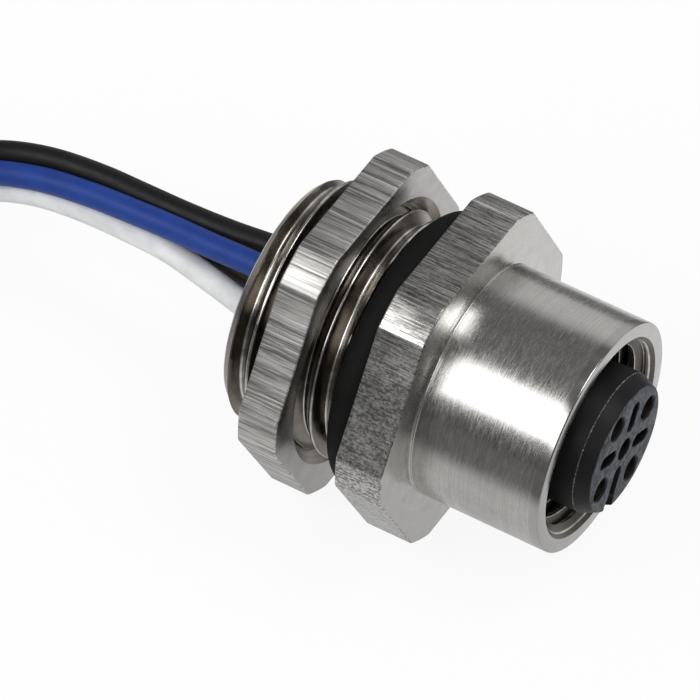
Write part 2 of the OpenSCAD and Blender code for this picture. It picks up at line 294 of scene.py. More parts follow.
def capped_faces(points, sides, start=0):
    """Faces of a bar whose points come in rings of that many sides: its skin and a cap at each end.

    The skin's signed volume tells which way round the faces have to run to look outwards. The
    corner numbers count from a start, so that several bars can share one list of points.
    """
    count = len(points)
    quads = grid_quads(count // sides, sides)
    caps = np.stack([np.arange(sides)[::-1], np.arange(count - sides, count)])
    if signed_volume(points - points.mean(0), quads) < 0:
        quads, caps = quads[:, ::-1], caps[:, ::-1]
    return (quads + start).tolist() + (caps + start).tolist()


def ring_points(centres, radius, sides, across, upward):
    """A circle of points round each centre: cosines along one direction, sines along the other."""
    turn_ = np.linspace(0, 2 * np.pi, sides, endpoint=False)[None, :, None]
    circle = np.cos(turn_) * across[:, None] + np.sin(turn_) * upward[:, None]
    return (centres[:, None] + radius * circle).reshape(-1, 3)


def welded(points, quads, slots):
    """Merges points that coincide, and drops or thins the quads that lose corners by it."""
    cells = np.round(points / WELD_STEP).astype(np.int64)
    _, first, number_of = np.unique(cells, axis=0, return_index=True, return_inverse=True)
    quads = number_of.reshape(-1)[quads]
    again = quads == np.roll(quads, -1, axis=1)
    folded = (quads[:, 0] == quads[:, 2]) | (quads[:, 1] == quads[:, 3])
    whole = (again.sum(1) == 0) & ~folded
    thin = (again.sum(1) == 1) & ~folded
    triangles = quads[thin][~again[thin]].reshape(-1, 3)
    faces = quads[whole].tolist() + triangles.tolist()
    return points[first], faces, np.concatenate([slots[whole], slots[thin]])


def spread(values, count, angles):
    """Values for each row, repeated round the row where they don't differ."""
    return np.broadcast_to(np.reshape(values, (count, -1)), (count, len(angles)))


def turned_points(x, r, angles):
    """Points of a skin about the X axis: x and r give each row, and may differ round the row."""
    x, r = spread(x, len(x), angles), spread(r, len(r), angles)
    return np.stack([x, r * np.cos(angles), r * np.sin(angles)], -1)


def turned_rows(angles, *stretches):
    """Rows of a skin from stretches (x, r, slot), each carried on from the one before."""
    xs = np.concatenate([spread(x, len(x), angles) for x, _, _ in stretches])
    rs = np.concatenate([spread(r, len(x), angles) for x, r, _ in stretches])
    return xs, rs, np.concatenate([np.full(len(x), slot) for x, _, slot in stretches]), 0


def thread_rows(angles, form, pitch, phase, low, high, limit, slot, down=False):
    """Rows that follow a right-hand thread's crest and root lines, cut square at both its ends.

    form holds the thread's outline: share of the pitch from a crest, and radius there. A row's
    x grows by one pitch in a turn, so it meets a row one pitch further on at the seam. Points
    past an end are put on it, where they coincide. limit trims the radii, as a chamfer does.
    """
    shares, radii = np.array(form).T
    turns = np.arange(math.floor(low / pitch - phase) - 3, math.ceil(high / pitch - phase) + 3)
    lead = pitch * angles / (2 * np.pi)
    x = (pitch * (phase + turns[:, None] + shares)).reshape(-1, 1) + lead
    beyond = (x < low) | (x > high)
    x = np.clip(x, low, high)
    share = (x / pitch - phase - angles / (2 * np.pi) + 0.5) % 1 - 0.5
    ends = np.interp(share, shares, radii, period=1)
    r = limit(x, np.where(beyond, ends, np.tile(radii, len(turns))[:, None]))
    shift = len(shares)
    if down:
        x, r, shift = x[::-1], r[::-1], -shift
    return x, r, np.full(len(x), slot), shift


def skin(name, angles, stretches, materials, sharp=30):
    """One closed skin about the X axis from stretches of rows, the last row meeting the first."""
    points, quads, slots, count = [], [], [], 0
    first = None
    for k, (x, r, slot, shift) in enumerate(stretches):
        grid = turned_points(x, r, angles)
        if first is None:
            first = grid[0]
        if k and not shift:
            grid, slot = np.concatenate([last[None], grid]), np.concatenate([slot[:1], slot])
        if k == len(stretches) - 1:
            grid, slot = np.concatenate([grid, first[None]]), np.concatenate([slot, slot[-1:]])
        last = grid[-1]
        quads.append(grid_quads(len(grid), len(angles), shift) + count)
        points.append(grid.reshape(-1, 3))
        slots.append(np.repeat(slot[1:], len(angles)))
        count += grid.shape[0] * grid.shape[1]
    points, quads, slots = np.concatenate(points), np.concatenate(quads), np.concatenate(slots)
    if signed_volume(points, quads) < 0:
        quads = quads[:, ::-1]
    points, faces, slots = welded(points, quads, slots)
    return new_piece(name, points, faces, materials, slots, sharp)


# ---- Shapes of turned and hexagonal pieces ----

FLAT_NORMALS = np.radians([30, 90, 150, 210, 270, 330])
HALF_AF = -float(HOUSING_LOW[2])
CORNER_R = float(HOUSING_HIGH[1])
FLAT_HALF_ANGLE = math.acos(HALF_AF / CORNER_R)
QUARTER = np.radians([0, 30, 60, 90])
ROUND_IN = 1 - np.sin(QUARTER)
ROUND_OUT = 1 - np.cos(QUARTER)


def hex_angles(count):
    """Even steps round the axis, with more on each line where a flat meets a turned corner."""
    even = np.linspace(0, 2 * np.pi, count, endpoint=False)
    near = np.radians([-1.2, -0.6, -0.25, 0, 0.25, 0.6, 1.2])
    lines = (FLAT_NORMALS[:, None] + FLAT_HALF_ANGLE * np.array([-1, 1])).ravel()
    extra = (lines[:, None] + near).ravel() % (2 * np.pi)
    step = np.radians(0.2)
    keep = even[np.abs(even[:, None] - extra).min(1) > step]
    return np.sort(np.concatenate([keep, extra]))


def hex_radius(angles, blend=0.02 * MM):
    """Radius of a hexagon with turned corners.

    It is a soft least of the flat's line and the corner's circle.
    """
    off = (angles - FLAT_NORMALS[0] + math.pi / 6) % (math.pi / 3) - math.pi / 6
    flat = HALF_AF / np.cos(off)
    return -blend * np.logaddexp(-flat / blend, -CORNER_R / blend)


def flat_rows(low, high, hexagon, edge, slot):
    """A hexagon's stretches from one face to the other: a broken edge, the flats, a broken edge."""
    rounding_in, rounding_out = edge * ROUND_IN, edge * ROUND_OUT
    return [
        (low + rounding_out, hexagon - rounding_in[:, None], slot),
        ([(low + high) / 2], hexagon, slot),
        (high - rounding_in, hexagon - rounding_out[:, None], slot),
    ]


def thread_form(crest_r, root_r, crest_half, root_half, rounding):
    """A thread's outline over one pitch: flat crest, straight flanks, flat root, soft corners.

    The halves and the rounding are shares of the pitch. Each row is (share from the crest, radius).
    """
    flank = np.linspace(crest_half + rounding, 0.5 - root_half - rounding, FLANK_ROWS)
    slope = (root_r - crest_r) / (0.5 - root_half - crest_half)
    ease = 0.35 * slope * rounding
    half = [
        (crest_half - rounding / 2, crest_r),
        (crest_half + rounding / 4, crest_r + ease),
        *((share, crest_r + slope * (share - crest_half)) for share in flank),
        (0.5 - root_half - rounding / 4, root_r - ease),
        (0.5 - root_half + rounding / 2, root_r),
    ]
    return [(-share, r) for share, r in reversed(half)] + half


# ---- Materials ----


def feed(socket, value):
    """Gives a node's input a link, a number or a colour."""
    if isinstance(value, bpy.types.NodeSocket):
        socket.id_data.links.new(value, socket)
    elif socket.type == "RGBA":
        socket.default_value = (*value[:3], 1)
    else:
        socket.default_value = value


def add_node(tree, kind, inputs=(), **settings):
    """Adds a node to a tree, sets its fields and feeds its inputs."""
    node = tree.nodes.new(kind)
    for key, value in settings.items():
        setattr(node, key, value)
    for key, value in dict(inputs).items():
        feed(node.inputs[key], value)
    return node


class Finish:
    """A material under construction, with short ways to add and join nodes."""

    def __init__(self, name, base, metallic=0.0, roughness=0.5, gloss=0.5):
        self.material = bpy.data.materials.new(name)
        self.material.use_nodes = True
        self.tree = self.material.node_tree
        self.shader = self.tree.nodes["Principled BSDF"]
        self.paint("Base Color", base)
        self.paint("Metallic", metallic)
        self.paint("Roughness", roughness)
        self.paint("Specular IOR Level", gloss)
        self.coords = self.add("ShaderNodeTexCoord").outputs["Object"]
        self.normal = None

    def add(self, kind, inputs=(), **settings):
        """Adds a node to the material."""
        return add_node(self.tree, kind, inputs, **settings)

    def paint(self, socket, value):
        """Feeds one of the shader's inputs."""
        feed(self.shader.inputs[socket], value)

    def part(self, axis, coords=None):
        """One of the object's coordinates, or of others."""
        return self.add("ShaderNodeSeparateXYZ", {"Vector": coords or self.coords}).outputs[axis]

    def noise(self, scale, detail=4.0, roughness=0.6, coords=None):
        """Noise on the object's coordinates, stretched by one scale for each axis."""
        spot = self.add("ShaderNodeMapping", {"Vector": coords or self.coords, "Scale": scale})
        fields = {"Vector": spot.outputs[0], "Scale": 1.0, "Detail": detail, "Roughness": roughness}
        return self.add("ShaderNodeTexNoise", fields).outputs["Fac"]

    def from_axis(self):
        """Coordinates (distance from the X axis, x, 0), for marks that run round a face."""
        x, y, z = self.add("ShaderNodeSeparateXYZ", {"Vector": self.coords}).outputs
        flat = self.add("ShaderNodeCombineXYZ", {"Y": y, "Z": z}).outputs[0]
        away = self.add("ShaderNodeVectorMath", {0: flat}, operation="LENGTH").outputs["Value"]
        return self.add("ShaderNodeCombineXYZ", {"X": away, "Y": x}).outputs[0]

    def bent(self, reach, scale):
        """Coordinates pushed sideways by noise, so that drawn lines wander a little."""
        fields = {"Vector": self.coords, "Scale": scale, "Detail": 2.0}
        noise = self.add("ShaderNodeTexNoise", fields).outputs["Color"]
        push = self.vectors("SUBTRACT", noise, (0.5, 0.5, 0.5))
        return self.vectors("ADD", self.coords, self.vectors("SCALE", push, reach))

    def vectors(self, operation, first, second):
        """Arithmetic on two vectors, or on a vector and a factor."""
        key = "Scale" if operation == "SCALE" else 1
        fields = {0: first, key: second}
        return self.add("ShaderNodeVectorMath", fields, operation=operation).outputs[0]

    def maths(self, operation, *values):
        """Arithmetic on one or two values."""
        return self.add("ShaderNodeMath", enumerate(values), operation=operation).outputs[0]

    def near(self, value, centre, full, reach):
        """1 where a value is close to a centre, falling to 0 at a distance from it."""
        off = self.maths("ABSOLUTE", self.maths("SUBTRACT", value, centre))
        return self.ramp(off, 1.0, 0.0, (full, reach))

    def mixed(self, first, second, share):
        """A blend of two values, with that share of the second."""
        fields = {"Factor": share, "A": first, "B": second}
        return self.add("ShaderNodeMix", fields).outputs["Result"]

    def blend(self, first, second, share):
        """A blend of two colours, with that share of the second."""
        node = self.add("ShaderNodeMix", {"Factor": share}, data_type="RGBA")
        ends = [socket for socket in node.inputs if socket.type == "RGBA"]
        feed(ends[0], first)
        feed(ends[1], second)
        return next(socket for socket in node.outputs if socket.type == "RGBA")

    def ramp(self, value, low, high, at=(0.3, 0.7), kind="LINEAR"):
        """Spreads a value between two numbers or two colours."""
        if np.ndim(low):
            return self.blend(low, high, self.ramp(value, 0.0, 1.0, at))
        span = dict(zip(("From Min", "From Max", "To Min", "To Max"), (*at, low, high)))
        fields = {"Value": value, **span}
        return self.add("ShaderNodeMapRange", fields, interpolation_type=kind).outputs["Result"]

    def bump(self, height, depth):
        """Adds a bump of that depth in metres to the ones before it."""
        inputs = {"Height": height, "Distance": depth, "Strength": 1.0}
        if self.normal:
            inputs["Normal"] = self.normal
        self.normal = self.add("ShaderNodeBump", inputs).outputs["Normal"]
        self.paint("Normal", self.normal)


def shade(base, factor):
    """A colour made darker or lighter."""
    return tuple(min(1.0, c * factor) for c in base)


def turned_nickel(name, base, roughness=0.2):
    """Nickel on a turned cylinder: fine rings and short satin dashes across the axis."""
    f = Finish(name, base, metallic=1.0, roughness=roughness)
    rings = f.noise((9000, 120, 120), detail=4, roughness=0.75)
    dashes = f.noise((11000, 1700, 1700), detail=4, roughness=0.75)
    cloud = f.noise((350, 500, 500), detail=3)
    marks = f.mixed(f.mixed(rings, dashes, 0.5), cloud, 0.25)
    f.paint("Base Color", f.ramp(marks, shade(base, 0.76), shade(base, 1.08), (0.38, 0.58)))
    f.paint("Roughness", f.ramp(dashes, roughness - 0.04, roughness + 0.1, (0.35, 0.65)))
    f.bump(rings, 0.0022 * MM)
    f.bump(dashes, 0.005 * MM)
    return f.material


def drawn_nickel(name, base, line_depth=0.011 * MM):
    """Nickel on drawn hexagon flats: long scratches along the axis, some bright and some dark."""
    f = Finish(name, base, metallic=1.0, roughness=0.36)
    wander = f.bent(0.09 * MM, 600)
    fine = f.noise((260, 13000, 13000), detail=5, roughness=0.8, coords=wander)
    broad = f.noise((90, 4200, 4200), detail=3, coords=wander)
    scores = f.noise((160, 7500, 7500), detail=1, coords=wander)
    lines = f.mixed(fine, broad, 0.5)
    dull = f.ramp(lines, shade(base, 0.45), shade(base, 1.3), (0.42, 0.56))
    bright = f.ramp(scores, 0.0, 1.0, (0.6, 0.68))
    f.paint("Base Color", f.blend(dull, shade(base, 1.6), bright))
    f.paint("Roughness", f.ramp(fine, 0.3, 0.48))
    f.bump(broad, line_depth)
    f.bump(fine, line_depth * 0.7)
    return f.material


def milled_nickel(name, base):
    """Nickel on the flange's flats: very fine drawn lines, broken low down into pits and flecks."""
    f = Finish(name, base, metallic=1.0, roughness=0.28)
    wander = f.bent(0.06 * MM, 1500)
    lines = f.noise((500, 11000, 11000), detail=4, roughness=0.7, coords=wander)
    flecks = f.noise((4500, 6500, 6500), detail=4, roughness=0.75)
    patches = f.noise((350, 500, 500), detail=2)
    marks = f.mixed(lines, flecks, f.ramp(f.part("Z"), 0.65, 0.2, (5 * MM, 9 * MM)))
    f.paint("Base Color", f.ramp(marks, shade(base, 0.36), shade(base, 1.35), (0.43, 0.57)))
    f.paint("Roughness", f.ramp(patches, 0.24, 0.34))
    f.bump(lines, 0.003 * MM)
    f.bump(flecks, 0.004 * MM)
    return f.material


def faced_nickel(name, base, roughness=0.26):
    """Nickel on faces cut square to the axis: marks that run round the axis."""
    f = Finish(name, base, metallic=1.0, roughness=roughness)
    rings = f.noise((9000, 0, 0), detail=3, coords=f.from_axis())
    cloud = f.noise((900, 900, 900), detail=4)
    f.paint("Base Color", f.ramp(rings, shade(base, 0.88), shade(base, 1.05)))
    f.paint("Roughness", f.ramp(cloud, roughness - 0.06, roughness + 0.08))
    f.bump(rings, 0.0015 * MM)
    return f.material


def thread_nickel(name, base, outer_r, inner_r, flank, roughness=0.2):
    """Nickel on threads: flanks in a darker, warm colour that paints the shade in the grooves, with
    thin painted highlight lines at the outer and inner radius.
    """
    f = Finish(name, base, metallic=1.0, roughness=roughness)
    from_axis = f.from_axis()
    away = f.part("X", from_axis)
    stain = f.noise((900, 900, 900), detail=4)
    marks = f.noise((9000, 0, 0), detail=4, roughness=0.8, coords=from_axis)
    # Painted highlights: thin lighter lines at the crest and root radii, broken up by the stain
    # noise.
    near = [f.near(away, r, 0.015 * MM, 0.055 * MM) for r in (outer_r, inner_r)]
    lines = f.maths("MULTIPLY", f.maths("MAXIMUM", *near), f.ramp(stain, 0.45, 1.0, (0.4, 0.6)))
    # Painted shade: the flanks take the darker flank colour.
    dull = f.ramp(f.mixed(marks, stain, 0.4), shade(flank, 0.6), shade(flank, 1.3), (0.38, 0.62))
    f.paint("Base Color", f.blend(dull, shade(base, 1.3), lines))
    f.paint("Roughness", f.ramp(stain, roughness - 0.04, roughness + 0.1))
    f.bump(marks, 0.0014 * MM)
    return f.material


def moulded(name, base, roughness, grain_depth, grain_scale=7000, gloss=0.5):
    """Moulded rubber, plastic or resin: a fine even grain and slightly uneven gloss."""
    f = Finish(name, base, roughness=roughness, gloss=gloss)
    grain = f.noise((grain_scale,) * 3, detail=3)
    cloud = f.noise((700, 700, 700), detail=3)
    f.paint("Base Color", f.ramp(cloud, shade(base, 0.85), shade(base, 1.2)))
    f.paint("Roughness", f.ramp(cloud, roughness - 0.06, roughness + 0.06))
    f.bump(grain, grain_depth)
    return f.material


def moulded_insert(name, base, face_tint, edge_x, face_x):
    """The insert's plastic: near-black sides, a lighter bluish face speckled with dust and a
    painted sheen, and a painted highlight line where it tapers.
    """
    f = Finish(name, base, gloss=0.3)
    along = f.part("X")
    grain = f.noise((6000, 6000, 6000), detail=4, roughness=0.7)
    cloud = f.noise((900, 900, 900), detail=3)
    speckles = f.noise((2600, 2600, 2600), detail=4, roughness=0.75)
    sides = f.ramp(cloud, shade(base, 0.8), shade(base, 1.2))
    # Dust and painted sheen: only the face turns a lighter bluish grey, in speckles.
    on_face = f.ramp(along, 0.0, 1.0, (face_x - 0.05 * MM, face_x - 0.01 * MM))
    dust_and_sheen = f.maths("MULTIPLY", on_face, f.ramp(speckles, 0.05, 1.0, (0.42, 0.58)))
    faced = f.blend(sides, face_tint, dust_and_sheen)
    # Painted highlight: a lighter broken line round the edge where the insert tapers.
    line = f.near(along, edge_x, 0.015 * MM, 0.04 * MM)
    painted_edge_highlight = f.maths("MULTIPLY", line, f.ramp(grain, 0.1, 1.0, (0.45, 0.6)))
    f.paint("Base Color", f.blend(faced, (0.3, 0.27, 0.26), painted_edge_highlight))
    f.paint("Roughness", f.ramp(cloud, 0.44, 0.56))
    f.bump(grain, 0.004 * MM)
    return f.material


def insulation(name, base):
    """Extruded insulation: a smooth satin skin with faint lines along it and soft unevenness."""
    f = Finish(name, base, roughness=0.46, gloss=0.3)
    cloud = f.noise((500, 900, 900), detail=4)
    fine = f.noise((1500, 6000, 6000), detail=3)
    f.paint("Base Color", f.ramp(cloud, shade(base, 0.86), shade(base, 1.12)))
    f.paint("Roughness", f.ramp(fine, 0.4, 0.54))
    f.bump(fine, 0.002 * MM)
    f.bump(cloud, 0.01 * MM)
    return f.material


def plated(name, base, roughness):
    """A thin bright plating on a small turned piece."""
    f = Finish(name, base, metallic=1.0, roughness=roughness)
    marks = f.noise((9000, 2000, 2000), detail=3)
    f.paint("Roughness", f.ramp(marks, roughness - 0.05, roughness + 0.1))
    f.bump(marks, 0.0015 * MM)
    return f.material


# ---- Pieces ----


def finished(piece, node, body=BODY):
    """Lets a piece stand for a CAD node, on that body."""
    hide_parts(node)
    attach(piece, body)
    return piece


def build_housing(size, tint):
    """The turned housing as one skin.

    Its rows run from the rear lip over the rear thread, the flange and the sleeve to the mouth,
    and back through the mating thread and the stepped bore.
    """
    angles = hex_angles(COLUMNS)
    hexagon = hex_radius(angles)[None, :]
    rear_x, mouth_x = float(HOUSING_LOW[0]), float(HOUSING_HIGH[0])
    flange_t, sleeve_r, e = size.flange_t, size.sleeve_r, size.edge
    neck_x = -size.groove_w
    lip = size.rear_r - size.rear_chamfer
    root = size.rear_r - size.rear_depth

    def rear_limit(x, r):
        """The chamfer at the rear end and the small one at the groove."""
        front = size.rear_r - size.front_edge + neck_x - x
        return np.minimum(r, np.minimum(lip + x - rear_x, front))

    def mouth_limit(x, r):
        """The lead-in chamfer at the mouth."""
        return np.maximum(r, size.rim_r - (mouth_x - x))

    rear_thread = thread_rows(
        angles, thread_form(size.rear_r, root, **REAR_FORM), size.rear_pitch, size.rear_phase,
        rear_x, neck_x, rear_limit, 0,
    )
    mate_low = mouth_x - size.mate_depth
    mate_thread = thread_rows(
        angles, thread_form(size.mate_minor_r, size.mate_r, **MATE_FORM), size.mate_pitch,
        size.mate_phase, mate_low, mouth_x, mouth_limit, 5, down=True,
    )
    flange = turned_rows(
        angles,
        ([neck_x, size.recess_depth], [size.neck_r] * 2, 0),
        ([size.recess_depth, 0], [size.recess_r] * 2, 3),
        ([0], hexagon - e, 3),
        *flat_rows(0, flange_t, hexagon, e, 1),
    )
    cut_x = flange_t + e + RELIEF_CUT_X
    sleeve = turned_rows(
        angles,
        ([flange_t], [sleeve_r + 1.2 * MM], 3),
        (flange_t + e * ROUND_OUT, sleeve_r + e * ROUND_IN, 2),
        (cut_x, sleeve_r - RELIEF_CUT_DEPTH, 2),
        (np.linspace(flange_t + 0.6 * MM, mouth_x - 0.6 * MM, 8), [sleeve_r] * 8, 2),
        (mouth_x - e * ROUND_IN, sleeve_r - e * ROUND_OUT, 4),
        ([mouth_x] * 2, [size.rim_r + 0.05 * MM, size.rim_r], 4),
    )
    seat_x = mate_low - size.relief_w
    neck_bore_x = seat_x - size.seat_depth
    bore = turned_rows(
        angles,
        ([mate_low, seat_x], [size.relief_r] * 2, 5),
        ([seat_x, neck_bore_x], [size.seat_r] * 2, 5),
        ([neck_bore_x, size.cavity_x], [size.neck_bore_r] * 2, 5),
        ([size.cavity_x, rear_x + e], [size.cavity_r] * 2, 5),
        ([rear_x, rear_x], [size.cavity_r + e, lip - 0.05 * MM], 3),
    )
    nickel, flank = tint.nickel, tint.flank
    materials = [
        # The threads' flanks are painted darker as shade, and their crest and root lines as
        # highlights.
        thread_nickel("rear thread nickel", nickel, size.rear_r, root, flank),
        milled_nickel("flange flat nickel", nickel),
        turned_nickel("turned sleeve nickel", nickel),
        faced_nickel("faced nickel", nickel),
        # The rim's nickel is made darker than the rest: painted shade.
        faced_nickel("rim nickel", shade(nickel, 0.85), roughness=0.2),
        # The mating thread's flanks are darker still: painted shade inside the mouth.
        thread_nickel(
            "mating thread nickel", nickel, size.mate_r, size.mate_minor_r, shade(flank, 0.5), 0.32
        ),
    ]
    stretches = [rear_thread, flange, sleeve, mate_thread, bore]
    piece = skin("housing_turned", angles, stretches, materials)
    finished(piece, "housing")


def build_lock_nut(size, tint):
    """The hexagonal nut as one skin: flats, faces, two countersinks and a thread that meshes."""
    angles = hex_angles(COLUMNS)
    hexagon = hex_radius(angles)[None, :]
    low, high = float(NUT_LOW[0]), float(NUT_HIGH[0])
    e = size.edge
    sink_r = size.nut_bore_r + size.nut_sink
    crest = size.nut_bore_r - size.rear_depth

    def sink_limit(x, r):
        """The countersink at each face."""
        return np.maximum(r, sink_r - np.minimum(high - x, x - low))

    thread = thread_rows(
        angles, thread_form(size.nut_bore_r, crest, **REAR_FORM), size.rear_pitch, size.rear_phase,
        low, high, sink_limit, 2, down=True,
    )
    outside = turned_rows(
        angles,
        ([low], hexagon - e, 1),
        *flat_rows(low, high, hexagon, e, 0),
        ([high], [sink_r + 0.04 * MM], 1),
    )
    materials = [
        drawn_nickel("drawn flat nickel", tint.nickel),
        faced_nickel("nut face nickel", shade(tint.nickel, 0.82), roughness=0.3),
        # The nut's thread takes the darker flank colour too: painted shade in its grooves, with
        # painted highlight lines.
        thread_nickel("nut thread nickel", tint.nickel, size.nut_bore_r, crest, tint.flank),
    ]
    piece = skin("lock_nut_turned", angles, [thread, outside], materials)
    finished(piece, "lock_nut", NUT_BODY)


def build_seal_ring(tint):
    """A moulded ring: a round section carried round the axis, with a faint parting line outside."""
    angles = np.linspace(0, 2 * np.pi, 240, endpoint=False)
    section = np.linspace(0, 2 * np.pi, 40, endpoint=False)
    section_r = float(RING_HIGH[0] - RING_LOW[0]) / 2
    middle_x = float(RING_HIGH[0] + RING_LOW[0]) / 2
    middle_r = float(RING_HIGH[1]) - section_r
    flash = 0.02 * MM * np.exp(-((section - np.pi) / 0.06) ** 2)
    r = middle_r - (section_r + flash) * np.cos(section)
    x = middle_x + section_r * np.sin(section)
    rubber = moulded("seal rubber", tint.rubber, 0.7, 0.004 * MM, gloss=0.15)
    piece = skin("seal_ring_moulded", angles, [turned_rows(angles, (x, r, 0))], [rubber], sharp=60)
    finished(piece, "seal_ring")


def dress_node(node, material, body=BODY):
    """A copy of a CAD node with its loose triangles merged and its round faces shaded round."""
    piece = new_object(node + "_smooth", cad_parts[node].data.copy())
    merge = piece.modifiers.new("merge", "WELD")
    merge.merge_threshold = 0.001 * MM
    mesh = settled(piece)
    mesh.materials.clear()
    mesh.materials.append(material)
    return finished(piece, node, body)


def turned_plug(name, profile, materials, at=(0, 0), sides=64):
    """A solid turned about a line along X at a place (y, z): a profile of (x, r), capped flat."""
    angles = np.linspace(0, 2 * np.pi, sides, endpoint=False)
    x, r = np.array(profile).T
    points = (turned_points(x, r, angles) + [0, *at]).reshape(-1, 3)
    return new_piece(name, points, capped_faces(points, sides), materials)


def slot_plug(name, angle, reach, width, from_x, face_x, flare):
    """A cutter for a slot with round ends that runs outwards from the axis.

    Its outline is two half circles joined by straight sides, and each row is that outline at
    one x. It grows by the flare over the last part below the face.
    """
    half = np.linspace(-np.pi / 2, np.pi / 2, 8)
    radius = width / 2
    ends = np.array(reach) + [radius, -radius]
    u = np.concatenate([ends[1] + radius * np.cos(half), ends[0] - radius * np.cos(half)])
    v = np.concatenate([radius * np.sin(half), -radius * np.sin(half)])
    outline = np.stack([u, v], 1)
    out = outline - [sum(reach) / 2, 0]
    out /= np.linalg.norm(out, axis=1)[:, None]
    rows = []
    for x, grow in ((from_x, 0), (face_x - flare, 0), (face_x, flare), (face_x + MM, flare)):
        u, v = (outline + grow * out).T
        y, z = u * math.cos(angle) - v * math.sin(angle), u * math.sin(angle) + v * math.cos(angle)
        rows.append(np.stack([np.full(len(u), x), y, z], 1))
    points = np.concatenate(rows)
    return new_piece(name, points, capped_faces(points, len(outline)), [])


def build_contact_insert(tint):
    """The moulded insert: a turned body, cut by contact ways, slots, a pilot and the key groove."""
    back_x, face_x = (float(corner[0]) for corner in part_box("contact_insert"))
    taper_x = face_x - TAPER
    soft_turn = np.radians([0, 22, 45, 68, 90])
    soft_x = face_x - FACE_EDGE * (1 - np.sin(soft_turn))
    soft_r = FACE_R - FACE_EDGE * (1 - np.cos(soft_turn))
    plastic = moulded_insert("insert plastic", tint.plastic, tint.face, taper_x, face_x)
    body = turned_plug("contact_insert_moulded", [
        (back_x, BOSS_R - 0.05 * MM), (back_x + 0.05 * MM, BOSS_R),
        (BOSS_X, BOSS_R), (BOSS_X, BARREL_R),
        (COLLAR_LOW, BARREL_R), (COLLAR_LOW, COLLAR_R),
        (COLLAR_HIGH, COLLAR_R), (COLLAR_HIGH, BARREL_R),
        (taper_x - 0.03 * MM, BARREL_R), (taper_x + 0.02 * MM, BARREL_R - 0.015 * MM),
        *zip(soft_x, soft_r),
    ], [plastic], sides=160)
    past_x = face_x + MM
    way = [
        (back_x - MM, WAY_R), (face_x - ENTRY_DEPTH, WAY_R),
        (face_x - ENTRY_DEPTH, ENTRY_R), (face_x - 0.13 * MM, ENTRY_R),
        (face_x - 0.05 * MM, ENTRY_R + 0.06 * MM), (face_x, FLARE_R),
        (past_x, FLARE_R),
    ]
    slot_x = face_x - SLOT_DEPTH
    key_turn = math.radians(CONTACT_TURN - 45)
    cutters = []
    for k in range(4):
        turn_ = math.radians(CONTACT_TURN - 90 * k)
        at = (CIRCLE_R * math.cos(turn_), CIRCLE_R * math.sin(turn_))
        cutters.append(turned_plug(f"way {k}", way, [], at, 48))
    for k in range(4):
        reach = (SLOT_IN, SLOT_OUT if k else KEY_SLOT_OUT)
        cutters.append(slot_plug(
            f"slot {k}", key_turn + math.pi / 2 * k, reach, SLOT_W, slot_x, face_x, 0.07 * MM
        ))
    cutters.append(turned_plug("pilot", [
        (slot_x, PILOT_R), (face_x - 0.06 * MM, PILOT_R),
        (face_x, PILOT_R + 0.06 * MM), (past_x, PILOT_R + 0.06 * MM),
    ], [], (0, 0), 40))
    cutters.append(
        slot_plug("key", key_turn, (KEY_IN, KEY_OUT), KEY_W, KEY_X, face_x, 0.05 * MM)
    )
    finished(carved(body, cutters), "contact_insert")


def build_inner_pieces(tint):
    """The contacts, the inner seal and the potting behind the insert."""
    resin = moulded("potting resin", tint.resin, 0.3, 0.002 * MM, 1500)
    dress_node("potting", resin)
    rubber = moulded("inner seal rubber", tint.rubber, 0.5, 0.003 * MM)
    dress_node("insert_seal", rubber)
    gold = plated("contact gold", tint.gold, 0.25)
    for number_ in range(1, 5):
        dress_node(f"socket_contact_{number_}", gold)


# ---- Leads ----

COIL_AT = np.array([-43.5, -8.0])
COIL_OUTER_R = 8.6
COIL_PITCH = 3.4
COIL_LOW_Z = -7.6
COIL_TURN = 1170
COIL_SPREAD = 1.08
COIL_TWIST = 180
# Where the bundle moves in, twists, climbs and moves out: start and length in degrees
COIL_INWARDS = (285, 60)
COIL_TWIST_AT = (440, 260)
COIL_CLIMB = (570, 75)
COIL_OUTWARDS = (850, 80)
CONTACT_TURN = -68
FAN_PITCH = 1.7
FAN_PLACE = (-0.5, 0.5, 1.5, -1.5)
WIRE_START = 0.6


def spline(rows, step):
    """A smooth line through rows of values, in steps of about one length.

    It is a Catmull-Rom spline, which passes through every row.
    """
    rows = np.vstack([2 * rows[0] - rows[1], rows, 2 * rows[-1] - rows[-2]])
    pieces = []
    for a, b, c, d in zip(rows[:-3], rows[1:-2], rows[2:-1], rows[3:]):
        count = max(2, int(round(np.linalg.norm((c - b)[:3]) / step)))
        t = np.linspace(0, 1, count, endpoint=False)[:, None]
        square, cube = 2 * a - 5 * b + 4 * c - d, 3 * b - a - 3 * c + d
        pieces.append(0.5 * (2 * b + (c - a) * t + square * t**2 + cube * t**3))
    return np.vstack([*pieces, rows[-2][None, :]])


def smooth_step(x):
    """Rises from 0 to 1 with level ends."""
    x = np.clip(x, 0, 1)
    return x * x * (3 - 2 * x)


def frames_along(route):
    """Direction, level sideways direction and upward direction at each point of a route."""
    way = np.gradient(route, axis=0)
    way /= np.linalg.norm(way, axis=1)[:, None]
    across = np.cross(way, [0, 0, 1])
    across /= np.linalg.norm(across, axis=1)[:, None]
    return way, across, np.cross(across, way)


